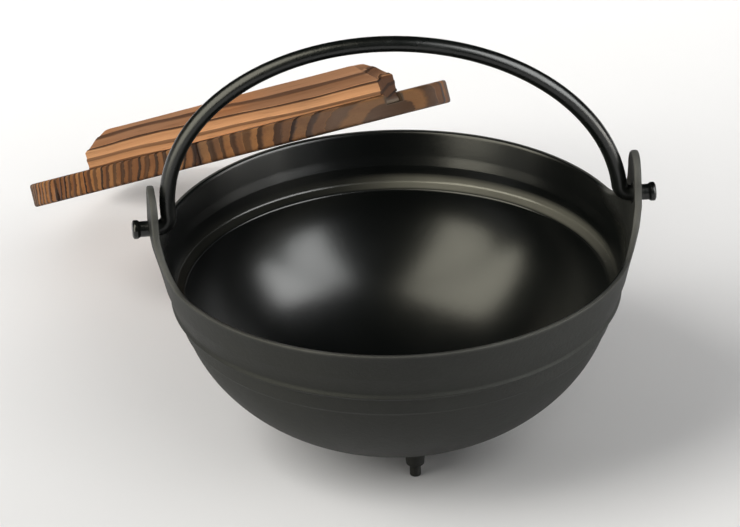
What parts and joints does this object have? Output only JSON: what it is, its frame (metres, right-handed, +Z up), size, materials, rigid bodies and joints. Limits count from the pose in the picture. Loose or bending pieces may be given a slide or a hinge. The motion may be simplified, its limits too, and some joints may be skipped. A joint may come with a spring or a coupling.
{
  "type": "cooking pot",
  "caption": "Round-bottomed cast cooking pot on small feet, with a bail handle that swings in side ears and a wooden plank lid with a batten grip leaning on its rim.",
  "frame": {"origin": "centre of the flat underside of the bowl, on the pot's axis", "axes": "+Z up along the pot's axis, +X along the line through the ear holes, +Y towards the side on which the lid leans"},
  "size_m": [0.2993, 0.4278, 0.2257],
  "materials": {
    "pot_coat": "satin black non-stick coat on cast aluminium",
    "bail_bar": "satin black",
    "board_wood": "scorched and brushed",
    "batten_wood": "scorched and brushed"
  },
  "bodies": {
    "pot": {"pot_body": "pot_coat"},
    "bail": {"bail_handle": "bail_bar"},
    "lid": {"lid_plank_left": "board_wood", "lid_plank_middle": "board_wood", "lid_plank_right": "board_wood", "lid_batten": "batten_wood"}
  },
  "joints": [
    {"name": "bail_swing", "type": "hinge", "parent": "pot", "child": "bail", "pos_m": [0, 0, 0.1205], "axis": [1, 0, 0], "range_deg": [-104, 104]},
    {"name": "lid_lift", "type": "slide", "parent": "pot", "child": "lid", "axis": [0, 0, 1], "range_m": [0, 0.2]}
  ]
}
